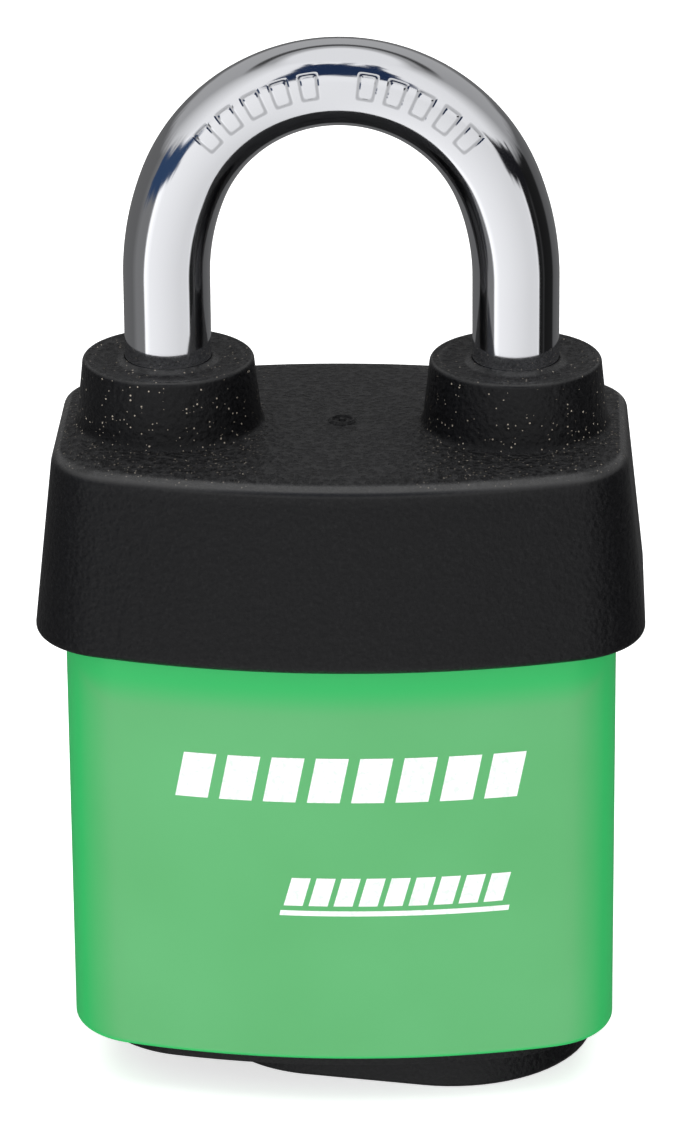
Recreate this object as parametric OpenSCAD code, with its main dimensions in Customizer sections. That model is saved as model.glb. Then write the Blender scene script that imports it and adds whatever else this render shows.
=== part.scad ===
// Keyed padlock with a laminated steel body inside a moulded cover and top cap,
// a ball-locked shackle and a swinging cover over its keyway.
// Millimetres. X runs across the two legs, Y from front (-) to back (+), Z up.
// Z = 0 is the outer face of the keyway cover. The shackle is home and the key
// plug stands in its open position, so every joint can leave rest on its own.

/* [Body cover] */
// Width of the body cover, side to side
cover_w = 50.8; // [50:0.1:70]
// Depth of the body cover, front to back
cover_d = 36; // [34:0.1:50]
// Radius of the slight bow of the front and back faces
face_r = 70; // [60:1:400]
// Corner radius of the body cover
corner_r = 7.5; // [6.5:0.1:12]
// Wall thickness of the body cover
cover_wall = 1.8; // [1.2:0.1:2.4]
// Rounding of the cover's lower edge
cover_round = 0.8; // [0.4:0.1:1.2]

/* [Laminations] */
// Thickness of each of the 24 steel plates
lam_t = 2.2; // [2.2:0.05:3]
// Radius of the four rivets through the plates
rivet_r = 1.6; // [1.2:0.1:2]

/* [Top cap] */
// Height of the top cap, rim to flat top
cap_h = 17.5; // [14:0.1:24]
// How far the rim stands out past the cover, at the sides
cap_out = 2.9; // [2.4:0.1:5]
// The same at the front and back
cap_out_y = 2.5; // [2.3:0.1:5]
// How far each side wall leans in from rim to top
cap_draft = 1.9; // [1:0.1:2.4]
// How many times further the front and back walls lean in
cap_lean_y = 1.6; // [1:0.1:1.8]
// Thickness of the cap over the top plate
cap_t = 2.7; // [1.5:0.1:4]
// Height of the collar around each shackle leg
collar_h = 6.35; // [4:0.05:10]
// Width of the collar's wall around the leg
collar_wall = 3.95; // [3:0.05:5]

/* [Shackle] */
// Diameter of the shackle bar
bar_d = 8; // [6:0.1:10]
// Clear gap between the two legs
shackle_gap = 24; // [22:0.1:30]
// Clear height from the cap's flat top to the underside of the arch
shackle_clear = 28.6; // [24:0.1:80]
// How far the shackle rises when it opens
lift = 23.5; // [20:0.1:26]

/* [Lock cylinder] */
// Diameter of the two locking balls
ball_d = 6.35; // [5:0.05:6.4]
// How deep each ball bites into its leg
bite = 2; // [1.6:0.05:2.2]
// Diameter of the key plug
plug_d = 12.7; // [12:0.05:13]
// Diameter of the pins
pin_d = 2.8; // [2.4:0.05:2.9]
// Width of the key slot
slot_w = 2.2; // [1.8:0.1:2.6]

/* [Keyway cover] */
// Thickness of the swinging cover
flap_t = 3.2; // [2.6:0.1:5]
// Thickness of the plate it swings against
base_t = 1.5; // [1.2:0.1:3]

/* [Hidden] */
$fn = 128;
lam_n = 24;
gap = 0.1;
run = 0.08;
leg_r = bar_d / 2;
leg_x = shackle_gap / 2 + leg_r;
leg_bore = leg_r + run;
hw = cover_w / 2;
hd = cover_d / 2;

// levels
z_base = flap_t + 0.3;
z_cover = z_base + base_t;
z_lam = z_cover + 1.5;
z_top = z_lam + lam_n * lam_t;
z_cap = z_top + cap_t;
z_rim = z_cap - cap_h;
z_lap = z_rim + 5.3;
z_collar = z_cap + collar_h;
function level(i) = z_lam + i * lam_t;

// plates
lam_w = hw - cover_wall - gap;
lam_d = hd - cover_wall - gap;
lam_r = corner_r - cover_wall - gap;
lam_f = face_r - cover_wall - gap;
rivet_x = hw - 7.7;
rivet_y = hd - (face_r - sqrt(face_r * face_r - rivet_x * rivet_x)) - 5.925;
head_r = rivet_r + 1;

// ball lock
ball_r = ball_d / 2;
z_ball = level(20.5);
x_lock = leg_x - leg_r - ball_r + bite;
toe_go = bite + 0.15;
heel_go = bite - 0.75;
x_toe = x_lock - toe_go;
x_heel = x_lock - heel_go;
cam_r = x_lock - ball_r - 0.05;
notch_r = ball_r + 0.125;

// lock cylinder
plug_r = plug_d / 2;
shell_r = plug_r + 1.65;
bible_x = leg_x;
bible_y = 4.5;
z_face = z_base + 0.2;
z_rear = level(12);
pin_r = pin_d / 2;
well_r = pin_r + 0.1;
pin_z0 = z_face + 7.5;
pin_step = (z_rear - 6.1 - pin_z0) / 4;
pin_len = [4.2, 3.6, 4.8, 3.9, 4.5];
driver_len = 3.6;
clip_r = 7.4;
screw_x = leg_x - 1.75;

// shackle arch: a crown arc between two wider shoulder arcs
crown_r = 0.9625 * leg_x;
crown_a = 68.28;
side_r = (leg_x - crown_r * sin(crown_a)) / (1 - sin(crown_a));
z_crown = z_cap + shackle_clear + leg_r;
z_c1 = z_crown - crown_r;
z_straight = z_c1 + crown_r * cos(crown_a) - side_r * cos(crown_a);
z_toe = level(18) + 0.3;
z_heel = z_ball - lift - 5.7;

// keyway cover: two circles on a common centreline, and the rivet it turns on
flap_r1 = 13.6;
flap_x2 = -1.5;
flap_r2 = 11.5;
pivot_r = 1.5;
pivot_x = bible_x + 2.1 + pivot_r;
flap_x1 = pivot_x - 9.6;

// ---- shared shapes ------------------------------------------------------------

// points on a rounded edge of radius r about [x, z], from angle a to angle b
function edge_round(x, z, r, a, b) =
    [for (t = [0:0.25:1]) [x + r * cos(a + t * (b - a)), z + r * sin(a + t * (b - a))]];

// the centre height of the bowed face's corner circle
function corner_y(w, d, r, f) = sqrt(pow(f - r, 2) - pow(w - r, 2)) - (f - d);

// a quarter of the bowed outline, in short straight runs from the front's middle to the side
function outline_quarter(w, d, r, f) =
    let (a = asin((w - r) / (f - r)), cy = corner_y(w, d, r, f))
    concat([for (t = [0:0.125:0.99]) [f * sin(a * t), f - d - f * cos(a * t)]],
           [for (t = [0:0.125:1]) [w - r + r * cos(a - 90 + t * (90 - a)),
                                   -cy + r * sin(a - 90 + t * (90 - a))]]);

// the whole outline, anticlockwise from the front's middle
function outline(w, d, r, f) =
    let (q = outline_quarter(w, d, r, f), n = len(q))
    concat(q, [for (i = [n - 1:-1:0]) [q[i][0], -q[i][1]]],
           [for (i = [1:n - 1]) [-q[i][0], -q[i][1]]],
           [for (i = [n - 1:-1:1]) [-q[i][0], q[i][1]]]);

// a straight-walled block on the bowed outline
module slab(w, d, r, f, z0, z1) {
    translate([0, 0, z0]) linear_extrude(height = z1 - z0) polygon(outline(w, d, r, f));
}

// a block skinned over rings, a list of [outline, height] from the bottom up
module skin(rings) {
    m = len(rings[0][0]);
    k = len(rings);
    polyhedron(
        [for (q = rings) for (o = q[0]) [o[0], o[1], q[1]]],
        concat([[for (i = [0:m - 1]) i]],
               [[for (i = [m - 1:-1:0]) (k - 1) * m + i]],
               [for (j = [0:k - 2]) for (i = [0:m - 1])
                   [j * m + i, (j + 1) * m + i, (j + 1) * m + (i + 1) % m]],
               [for (j = [0:k - 2]) for (i = [0:m - 1])
                   [j * m + i, (j + 1) * m + (i + 1) % m, j * m + (i + 1) % m]]));
}

// a block on the bowed outline whose wall follows edge, a list of [growth of the outline,
// height]: growing every curve by the same amount keeps its centre. ky makes the front
// and back grow that many times as much as the sides, and kf does it for the bow
module moulded(w, d, r, f, edge, ky = 1, kf = 1) {
    skin([for (e = edge)
        [outline(w + e[0], d + ky * e[0], r + e[0], f + kf * e[0]), e[1]]]);
}

module bore(x, y, r, z0, z1) {
    translate([x, y, z0]) cylinder(h = z1 - z0, r = r);
}

// ---- moulded outside ----------------------------------------------------------

module body_cover() color([0.25, 0.72, 0.42]) difference() {
    moulded(hw, hd, corner_r, face_r, concat(
        edge_round(-cover_round, z_cover + cover_round, cover_round, -90, 0), [[0, z_lap]]));
    slab(lam_w + gap, lam_d + gap, lam_r + gap, lam_f + gap, z_lam, z_lap + 1);
    bore(0, 0, shell_r + gap, z_cover - 1, z_lam + 1);
    bore(pivot_x, 0, pivot_r + 0.05, z_cover - 1, z_lam + 1);
    for (t = [-1, 1]) bore(-17, t * 6, 1.25, z_cover - 1, z_lam + 1);
}

// the cap's wall, from the rounded rim up the draft to the rounded top edge
function cap_edge() =
    let (lean = atan(cap_draft / cap_h), rb = 1, rt = 1.4,
         nb = (-rb - rb * sin(lean)) / cos(lean),
         nt = (-rt - (cap_h - rt) * sin(lean)) / cos(lean))
    concat(edge_round(nb, z_rim + rb, rb, -90, lean), edge_round(nt, z_cap - rt, rt, lean, 90));

module collar(x) {
    rim = leg_r + collar_wall;
    edge = 0.6;
    translate([x, 0, z_cap]) rotate_extrude()
        polygon(concat([[0, -0.5], [rim + 0.85, -0.5], [rim + 0.85, 0.2], [rim + 0.55, 0.9]],
                       edge_round(rim - edge, collar_h - edge, edge, 0, 90), [[0, collar_h]]));
}

module top_cap() color([0.13, 0.13, 0.14]) difference() {
    union() {
        moulded(hw + cap_out, hd + cap_out_y, corner_r + 1, face_r + cap_out, cap_edge(),
            cap_lean_y, 5);
        collar(leg_x);
        collar(-leg_x);
    }
    slab(hw + gap, hd + gap, corner_r + gap, face_r + gap, z_rim - 1, z_lap + gap);
    slab(lam_w + gap, lam_d + gap, lam_r + gap, lam_f + gap, z_lap - 1, z_top);
    for (s = [-1, 1]) {
        bore(s * leg_x, 0, leg_r + 0.2, z_top - 1, z_collar + 1);
        bore(s * leg_x, 0, leg_r + 1.5, z_collar - 3.2, z_collar - 1.6);
    }
}

module seal(x) {
    translate([x, 0, z_collar - 3.2]) difference() {
        cylinder(h = 1.6, r = leg_r + 1.5);
        translate([0, 0, -1]) cylinder(h = 4, r = leg_r + 0.05);
    }
}
module shackle_seal_heel() color([0.05, 0.05, 0.05]) seal(-leg_x);
module shackle_seal_toe() color([0.05, 0.05, 0.05]) seal(leg_x);

module base_plate() color([0.13, 0.13, 0.14]) difference() {
    union() {
        slab(hw - 2, hd - 2, corner_r + 2.5, face_r - 2, z_base, z_cover);
        for (t = [-1, 1]) bore(-17, t * 6, 1.2, z_cover - 0.5, z_lam + 1.6);
    }
    bore(0, 0, shell_r + gap, z_base - 1, z_cover + 1);
    bore(pivot_x, 0, pivot_r + 0.05, z_base - 1, z_cover + 1);
}

// ---- laminated body -----------------------------------------------------------

module leg_hole(s, i) {
    bore(s * leg_x, 0, leg_bore, level(i) - 1, level(i + 1) + 1);
}

// plate i counts from 0 at the bottom; each carries only the holes its level needs
module plate(i) color([0.62, 0.64, 0.67]) difference() {
    z0 = level(i) - 1;
    z1 = level(i + 1) + 1;
    slab(lam_w, lam_d, lam_r, lam_f, level(i), level(i + 1));
    for (s = [-1, 1], t = [-1, 1]) bore(s * rivet_x, t * rivet_y, rivet_r, z0, z1);
    if (i == 0 || i == lam_n - 1) for (s = [-1, 1], t = [-1, 1])
        bore(s * rivet_x, t * rivet_y, head_r, i == 0 ? z0 : z_top - 0.8, i == 0 ? z_lam + 0.8 : z1);
    if (i < 12) {
        bore(0, 0, shell_r + gap, z0, z1);
        translate([0, -bible_y - gap, z0]) cube([bible_x + 1.1, 2 * (bible_y + gap), z1 - z0]);
    }
    if (i < 2) bore(pivot_x, 0, pivot_r + 0.05, z0, z1);
    if (i < 1) for (t = [-1, 1]) bore(-17, t * 6, 1.25, z0, z1);
    if (level(i + 1) > z_heel) leg_hole(-1, i);
    if (i > 11 && i < 19) bore(0, 0, max(clip_r, cam_r) + run, z0, z1);
    if (i > 11 && i < 17) bore(screw_x, 0, 1.6, z0, z1);
    if (i == 17) bore(screw_x, 0, 3.1, z0, z1);
    if (i > 17) leg_hole(1, i);
    if (i > 18 && i < 22) {
        bore(0, 0, cam_r + run, z0, z1);
        translate([-leg_x, -ball_r - 0.075, z0]) cube([2 * leg_x, ball_d + 0.15, z1 - z0]);
    }
}
module lamination_01() plate(0);
module lamination_02() plate(1);
module lamination_03() plate(2);
module lamination_04() plate(3);
module lamination_05() plate(4);
module lamination_06() plate(5);
module lamination_07() plate(6);
module lamination_08() plate(7);
module lamination_09() plate(8);
module lamination_10() plate(9);
module lamination_11() plate(10);
module lamination_12() plate(11);
module lamination_13() plate(12);
module lamination_14() plate(13);
module lamination_15() plate(14);
module lamination_16() plate(15);
module lamination_17() plate(16);
module lamination_18() plate(17);
module lamination_19() plate(18);
module lamination_20() plate(19);
module lamination_21() plate(20);
module lamination_22() plate(21);
module lamination_23() plate(22);
module lamination_24() plate(23);

module body_rivets() color([0.55, 0.56, 0.58])
    for (s = [-1, 1], t = [-1, 1]) translate([s * rivet_x, t * rivet_y, 0]) {
        bore(0, 0, rivet_r, z_lam, z_top);
        bore(0, 0, head_r, z_lam, z_lam + 0.8);
        bore(0, 0, head_r, z_top - 0.8, z_top);
    }

// ---- lock cylinder ------------------------------------------------------------

function pin_z(k) = pin_z0 + k * pin_step;

module cylinder_housing() color([0.78, 0.65, 0.36]) difference() {
    union() {
        bore(0, 0, shell_r, z_face, z_rear);
        translate([0, -bible_y, z_lam + 0.1])
            cube([bible_x, 2 * bible_y, z_rear - z_lam - 0.1]);
    }
    bore(0, 0, plug_r + 0.07, z_face - 1, z_rear + 1);
    bore(0, 0, plug_r + 0.8, z_face - 1, z_face + 1.1);
    for (k = [0:4]) translate([0, 0, pin_z(k)]) rotate([0, 90, 0])
        cylinder(h = bible_x + 1, r = well_r);
    bore(screw_x, 0, 1.5, z_rear - 3.7, z_rear + 1);
}

module spring_strip() color([0.75, 0.62, 0.34])
    translate([bible_x, -3, z_lam + 1.8]) cube([1, 6, z_rear - z_lam - 5.2]);

module retaining_screw() color([0.5, 0.5, 0.52]) difference() {
    union() {
        bore(screw_x, 0, 3, level(17), level(18) - 0.1);
        bore(screw_x, 0, 1.5, z_rear - 3.5, level(17) + 0.5);
    }
    translate([screw_x - 0.4, -4, level(18) - 1]) cube([0.8, 8, 2]);
}

module driver(k) color([0.8, 0.68, 0.4]) translate([plug_r + 0.05, 0, pin_z(k)])
    rotate([0, 90, 0]) cylinder(h = driver_len, r = pin_r);
module driver_pin_1() driver(0);
module driver_pin_2() driver(1);
module driver_pin_3() driver(2);
module driver_pin_4() driver(3);
module driver_pin_5() driver(4);

// each spring is drawn as a row of separate coils
module spring(k) {
    wire = 0.22;
    x0 = plug_r + 0.05 + driver_len + wire;
    x1 = bible_x - wire;
    turns = 7;
    color([0.7, 0.7, 0.72]) for (j = [0:turns - 1])
        translate([x0 + j * (x1 - x0) / (turns - 1), 0, pin_z(k)]) rotate([0, 90, 0])
            rotate_extrude() translate([pin_r - 0.3, 0]) circle(r = wire);
}
module driver_spring_1() spring(0);
module driver_spring_2() spring(1);
module driver_spring_3() spring(2);
module driver_spring_4() spring(3);
module driver_spring_5() spring(4);

module plug() color([0.8, 0.67, 0.38]) {
    difference() {
        union() {
            bore(0, 0, plug_r + 0.7, z_face, z_face + 1);
            bore(0, 0, plug_r, z_face + 0.5, z_rear + 2);
        }
        translate([-slot_w / 2, -3.6, z_face - 1]) cube([slot_w, 8.8, z_rear - z_face - 1]);
        bore(0, -0.2, 2, z_face - 1, z_face + 0.5);
        for (k = [0:4]) translate([0, 0.6, pin_z(k)]) rotate([90, 0, 0])
            cylinder(h = plug_r + 2, r = well_r);
        difference() {
            bore(0, 0, plug_r + 1, z_rear + 0.1, z_rear + 1.1);
            bore(0, 0, plug_r - 0.95, z_rear, z_rear + 2);
        }
    }
    translate([-1.2, -5.5, z_rear + 1.5]) cube([2.4, 11, 5]);
}

module key_pin(k) color([0.8, 0.68, 0.4]) translate([0, -plug_r + 0.15, pin_z(k)])
    rotate([-90, 0, 0]) {
        cylinder(h = pin_len[k] - 0.8, r = pin_r);
        translate([0, 0, pin_len[k] - 0.8]) cylinder(h = 0.8, r1 = pin_r, r2 = 0.5);
    }
module key_pin_1() key_pin(0);
module key_pin_2() key_pin(1);
module key_pin_3() key_pin(2);
module key_pin_4() key_pin(3);
module key_pin_5() key_pin(4);

module plug_clip() color([0.6, 0.6, 0.62]) difference() {
    bore(0, 0, clip_r, z_rear + 0.1, z_rear + 1.1);
    bore(0, 0, plug_r - 0.95, z_rear, z_rear + 2);
    translate([0, -2.5, z_rear]) cube([clip_r + 1, 5, 2]);
}

// ---- ball lock ----------------------------------------------------------------

// distance from the cam's axis, on the ray at angle p, to a disc of radius d at [c, q]
function entry(p, c, q, d) =
    (cos(p - q) < 0 || abs(c * sin(p - q)) > d) ? 99
    : c * cos(p - q) - sqrt(d * d - pow(c * sin(p - q), 2));
// the cam's radius at p: both balls ride out as the cam turns a quarter under them
function cam_at(p) = min(concat([cam_r],
    [for (t = [0:0.05:1]) entry(p, x_toe + t * toe_go, -90 * t, ball_r + 0.1)],
    [for (t = [0:0.05:1]) entry(p, x_heel + t * heel_go, 180 - 90 * t, ball_r + 0.1)]));

module locking_cam() color([0.55, 0.56, 0.6]) difference() {
    union() {
        bore(0, 0, cam_r, z_rear + 2.1, level(19) - 0.5);
        translate([0, 0, level(19) - 0.5]) linear_extrude(height = 3 * lam_t + 0.3)
            polygon([for (p = [0:4:356]) (cam_at(p) - 0.02) * [cos(p), sin(p)]]);
    }
    translate([-1.3, -5.7, z_rear + 1]) cube([2.6, 11.4, 5.7]);
}

module ball_toe() color([0.8, 0.8, 0.82]) translate([x_toe, 0, z_ball]) sphere(r = ball_r);
module ball_heel() color([0.8, 0.8, 0.82]) translate([-x_heel, 0, z_ball]) sphere(r = ball_r);

// ---- shackle ------------------------------------------------------------------

module leg(x, z0) {
    bore(x, 0, leg_r, z0 + 0.6, z_straight + 0.01);
    translate([x, 0, z0]) cylinder(h = 0.6, r1 = leg_r - 0.6, r2 = leg_r);
}

// a bar bent round a centre in the XZ plane, from angle a0 through angle a; thin is
// how much slimmer it is than its neighbours, so that they meet in a clean step: a
// side bend's last 0.2 degrees lie inside the crown
module bend(x, z, r, a0, a, thin) {
    translate([x, 0, z]) rotate([90, 0, 0]) rotate([0, 0, a0])
        rotate_extrude(angle = a) translate([r, 0]) circle(r = leg_r - thin);
}

module shackle() color([0.85, 0.86, 0.88]) difference() {
    union() {
        leg(leg_x, z_toe);
        leg(-leg_x, z_heel);
        for (s = [0, 1]) mirror([s, 0, 0])
            bend(leg_x - side_r, z_straight, side_r, 0, 90 - crown_a + 0.2, 0.004);
        bend(0, z_c1, crown_r, 90 - crown_a, 2 * crown_a, 0);
    }
    for (s = [-1, 1]) translate([s * x_lock, 10, z_ball]) rotate([90, 0, 0])
        cylinder(h = 20, r = notch_r);
    translate([-x_lock, 10, z_ball - lift]) rotate([90, 0, 0]) cylinder(h = 20, r = notch_r);
    translate([-leg_x, 0, z_ball - lift - 2.3]) difference() {
        cylinder(h = lift + 2.3, r = leg_r + 1);
        translate([0, 0, -1]) cylinder(h = lift + 5, r = leg_r - 0.9);
    }
}

// ---- keyway cover -------------------------------------------------------------

// the egg-shaped outline: both circles, grown by g, and the tangents between them
function egg(g) =
    let (a = 90 + asin((flap_r1 - flap_r2) / (flap_x1 - flap_x2)))
    concat([for (t = [-a:a / 16:a + 0.01])
               [flap_x1 + (flap_r1 + g) * cos(t), (flap_r1 + g) * sin(t)]],
           [for (t = [a:(180 - a) / 14:360 - a + 0.01])
               [flap_x2 + (flap_r2 + g) * cos(t), (flap_r2 + g) * sin(t)]]);

module keyway_cover() {
    e = 0.8;
    color([0.13, 0.13, 0.14]) difference() {
        skin(concat([for (q = edge_round(-e, e, e, -90, 0)) [egg(q[0]), q[1]]],
                    [[egg(0), flap_t]]));
        bore(pivot_x, 0, pivot_r + 0.06, -1, flap_t + 1);
        bore(pivot_x, 0, 2.7, -1, 1.35);
    }
}

module cover_rivet() color([0.6, 0.61, 0.63]) {
    bore(pivot_x, 0, 2.6, 0.25, 1.25);
    bore(pivot_x, 0, pivot_r, 1, level(2));
}

// ---- output -------------------------------------------------------------------

body_cover();
top_cap();
shackle_seal_heel();
shackle_seal_toe();
base_plate();
lamination_01();
lamination_02();
lamination_03();
lamination_04();
lamination_05();
lamination_06();
lamination_07();
lamination_08();
lamination_09();
lamination_10();
lamination_11();
lamination_12();
lamination_13();
lamination_14();
lamination_15();
lamination_16();
lamination_17();
lamination_18();
lamination_19();
lamination_20();
lamination_21();
lamination_22();
lamination_23();
lamination_24();
body_rivets();
cylinder_housing();
spring_strip();
retaining_screw();
cover_rivet();
driver_pin_1();
driver_pin_2();
driver_pin_3();
driver_pin_4();
driver_pin_5();
driver_spring_1();
driver_spring_2();
driver_spring_3();
driver_spring_4();
driver_spring_5();
plug();
key_pin_1();
key_pin_2();
key_pin_3();
key_pin_4();
key_pin_5();
plug_clip();
locking_cam();
ball_toe();
ball_heel();
shackle();
keyway_cover();
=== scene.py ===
"""Laminated padlock with a green body cover, a black top cap and a chrome shackle.

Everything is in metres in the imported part's frame: X across the legs, -Y the front,
Z up, with the floor at the keyway cover's outer face.
"""

import math

import bmesh
import bpy
from mathutils import Matrix, Vector


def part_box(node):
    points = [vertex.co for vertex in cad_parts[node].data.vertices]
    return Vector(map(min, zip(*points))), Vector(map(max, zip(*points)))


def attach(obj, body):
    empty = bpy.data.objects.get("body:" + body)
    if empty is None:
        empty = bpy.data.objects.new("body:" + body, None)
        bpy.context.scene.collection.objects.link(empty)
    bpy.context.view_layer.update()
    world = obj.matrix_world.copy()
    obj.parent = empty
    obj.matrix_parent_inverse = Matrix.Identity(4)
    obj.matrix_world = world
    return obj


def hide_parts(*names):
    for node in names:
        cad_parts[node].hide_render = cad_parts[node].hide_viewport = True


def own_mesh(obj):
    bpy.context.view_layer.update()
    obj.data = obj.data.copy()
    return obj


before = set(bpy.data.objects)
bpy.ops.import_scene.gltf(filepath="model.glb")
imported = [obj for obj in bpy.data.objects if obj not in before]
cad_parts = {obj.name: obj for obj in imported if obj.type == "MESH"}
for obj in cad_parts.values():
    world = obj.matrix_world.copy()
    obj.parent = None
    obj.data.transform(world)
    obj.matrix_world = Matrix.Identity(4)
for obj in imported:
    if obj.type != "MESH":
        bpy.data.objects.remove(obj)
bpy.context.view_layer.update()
MM = 0.001


# ---- Camera, floor and studio light ----------------------------------------------------
# A long lens looks down on the padlock's front from half a metre away, a little from its
# right. The lock stands on a plain pale floor, lit by soft boxes.


def node(tree, kind, inputs=(), **settings):
    """Adds a node, sets its settings, and links or fills its inputs."""
    made = tree.nodes.new(kind)
    for key, value in settings.items():
        setattr(made, key, value)
    for key, value in dict(inputs).items():
        if isinstance(value, bpy.types.NodeSocket):
            tree.links.new(value, made.inputs[key])
        else:
            made.inputs[key].default_value = value
    return made


def colour(hex_code):
    """An sRGB hex code as linear RGBA."""
    parts = [int(hex_code[i : i + 2], 16) / 255 for i in (1, 3, 5)]
    linear = [c / 12.92 if c <= 0.04045 else ((c + 0.055) / 1.055) ** 2.4 for c in parts]
    return (*linear, 1.0)


def surface(name):
    """A new material: its tree, and its Principled shader."""
    made = bpy.data.materials.new(name)
    made.use_nodes = True
    return made, made.node_tree, made.node_tree.nodes["Principled BSDF"]


def ramp(tree, value, stops):
    """A colour ramp through (position, linear RGBA) stops."""
    made = node(tree, "ShaderNodeValToRGB", {"Fac": value})
    band = made.color_ramp.elements
    while len(band) > 1:
        band.remove(band[-1])
    band[0].position, band[0].color = stops[0]
    for position, rgba in stops[1:]:
        band.new(position).color = rgba
    return made.outputs["Color"]


camera_data = bpy.data.cameras.new("studio_camera")
camera_data.sensor_fit = "VERTICAL"
camera_data.sensor_height = 36.0
camera_data.lens = 180.6
camera_data.clip_start = 0.02
camera = bpy.data.objects.new("studio_camera", camera_data)
AROUND, DOWN, LEVEL = 2.2, 68.59, -0.48
walk = Matrix.Rotation(math.radians(AROUND), 3, "Z")
camera.location = walk @ Vector((0, -490.5, 240.2)) * MM
camera.rotation_euler = (walk @ Matrix.Rotation(math.radians(DOWN), 3, "X")
                         @ Matrix.Rotation(math.radians(LEVEL), 3, "Z")).to_euler()
bpy.context.scene.collection.objects.link(camera)
bpy.context.scene.camera = camera
bpy.context.scene.view_settings.view_transform = "Standard"

floor_mesh = bpy.data.meshes.new("floor")
floor_mesh.from_pydata([(-3, -3, 0), (3, -3, 0), (3, 3, 0), (-3, 3, 0)], [], [(0, 1, 2, 3)])
floor = bpy.data.objects.new("floor", floor_mesh)
bpy.context.scene.collection.objects.link(floor)
paper, tree, shader = surface("white_paper")
shader.inputs["Base Color"].default_value = colour("#F7F7F7")
shader.inputs["Roughness"].default_value = 0.9
shader.inputs["Specular IOR Level"].default_value = 0.1
# light that comes up through the paper keeps the shadow under the lock pale
shader.inputs["Emission Color"].default_value = colour("#FFFFFF")
shader.inputs["Emission Strength"].default_value = 0.65
floor_mesh.materials.append(paper)
floor.visible_glossy = False


def soft_box(name, at, aim, size, power):
    """A square area light that diffuse surfaces see and mirror-like ones don't."""
    data = bpy.data.lights.new(name, "AREA")
    data.shape, data.size, data.energy = "SQUARE", size, power
    lamp = bpy.data.objects.new(name, data)
    lamp.location = at
    lamp.rotation_euler = (Vector(aim) - Vector(at)).to_track_quat("-Z", "Y").to_euler()
    lamp.visible_glossy = False
    bpy.context.scene.collection.objects.link(lamp)


soft_box("overhead_box", (0.0, 0.1, 1.1), (0, 0, 0), 1.6, 9)
soft_box("front_box", (-0.35, -1.0, 0.65), (0, 0, 0.04), 0.9, 1.5)

# The room that shiny surfaces reflect: a wide white card in front, three dark windows with
# ragged edges, a bright ceiling, dark sides and a grey back.
room = bpy.data.worlds.new("studio_room")
room.use_nodes = True
bpy.context.scene.world = room
tree = room.node_tree
tree.nodes.clear()
way = node(tree, "ShaderNodeTexCoord").outputs["Generated"]
ragged = node(tree, "ShaderNodeTexNoise", {"Vector": way, "Scale": 9.0, "Detail": 3.0})
shift = node(tree, "ShaderNodeVectorMath", {0: ragged.outputs["Color"], 1: (0.5, 0.5, 0.5)},
             operation="SUBTRACT")
shift = node(tree, "ShaderNodeVectorMath", {0: shift.outputs[0], "Scale": 0.22},
             operation="SCALE")


def angles(vector):
    """The direction's turn from the front and its rise, both scaled to 0..1."""
    part = node(tree, "ShaderNodeSeparateXYZ", {"Vector": vector})
    rise = node(tree, "ShaderNodeMath", {0: part.outputs["Z"]}, operation="ARCSINE")
    rise = node(tree, "ShaderNodeMath", {0: rise.outputs[0], 1: 1 / math.pi, 2: 0.5},
                operation="MULTIPLY_ADD")
    ahead = node(tree, "ShaderNodeMath", {0: part.outputs["Y"], 1: -1.0}, operation="MULTIPLY")
    turn = node(tree, "ShaderNodeMath", {0: part.outputs["X"], 1: ahead.outputs[0]},
                operation="ARCTAN2")
    turn = node(tree, "ShaderNodeMath", {0: turn.outputs[0], 1: 0.5 / math.pi, 2: 0.5},
                operation="MULTIPLY_ADD")
    return turn.outputs[0], rise.outputs[0]


def grey(v, blue=1.0):
    return (v, v * (0.5 + 0.5 * blue), v * blue, 1.0)


def at_turn(degrees):
    return 0.5 + degrees / 360


def at_rise(degrees):
    return 0.5 + degrees / 180


def patch(turn, rise, turns, rises):
    """A mask that is 1 inside a range of turns and rises, in degrees, with soft edges."""
    sides = []
    for value, low, high, scale in ((turn, *turns, 360), (rise, *rises, 180)):
        middle, half = 0.5 + (low + high) / 2 / scale, (high - low) / 2 / scale
        away = node(tree, "ShaderNodeMath", {0: value, 1: middle}, operation="SUBTRACT")
        away = node(tree, "ShaderNodeMath", {0: away.outputs[0]}, operation="ABSOLUTE")
        sides.append(node(tree, "ShaderNodeMapRange", {
            "Value": away.outputs[0], "From Min": half - 1.5 / scale,
            "From Max": half + 1.5 / scale,
            "To Min": 1.0, "To Max": 0.0}).outputs["Result"])
    return node(tree, "ShaderNodeMath", {0: sides[0], 1: sides[1]},
                operation="MULTIPLY").outputs[0]


turn, rise = angles(way)
rough_turn, rough_rise = angles(node(tree, "ShaderNodeVectorMath",
                                     {0: way, 1: shift.outputs[0]}, operation="ADD").outputs[0])
room_light = ramp(tree, turn, [
    (0.0, grey(0.14)), (at_turn(-100), grey(0.13)), (at_turn(-84), grey(0.20)),
    (at_turn(-60), grey(0.20)),
    (at_turn(-57), grey(1.35)), (at_turn(-51), grey(1.2)), (at_turn(-43), grey(1.02)),
    (at_turn(-10), grey(0.93)), (at_turn(38), grey(0.78)), (at_turn(59), grey(0.78)),
    (at_turn(63), grey(0.97)), (at_turn(66), grey(0.01)), (at_turn(76), grey(0.015)),
    (at_turn(79), grey(0.04)), (at_turn(83), grey(0.01)), (at_turn(112), grey(0.015)),
    (at_turn(118), grey(0.10)), (1.0, grey(0.17))])
high_light = ramp(tree, turn, [
    (0.0, grey(0.42)), (at_turn(-105), grey(0.38)), (at_turn(-85), grey(0.60)),
    (at_turn(-50), grey(0.92)),
    (at_turn(0), grey(0.95)), (at_turn(60), grey(0.85)), (at_turn(100), grey(0.35)),
    (1.0, grey(0.42))])
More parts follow.
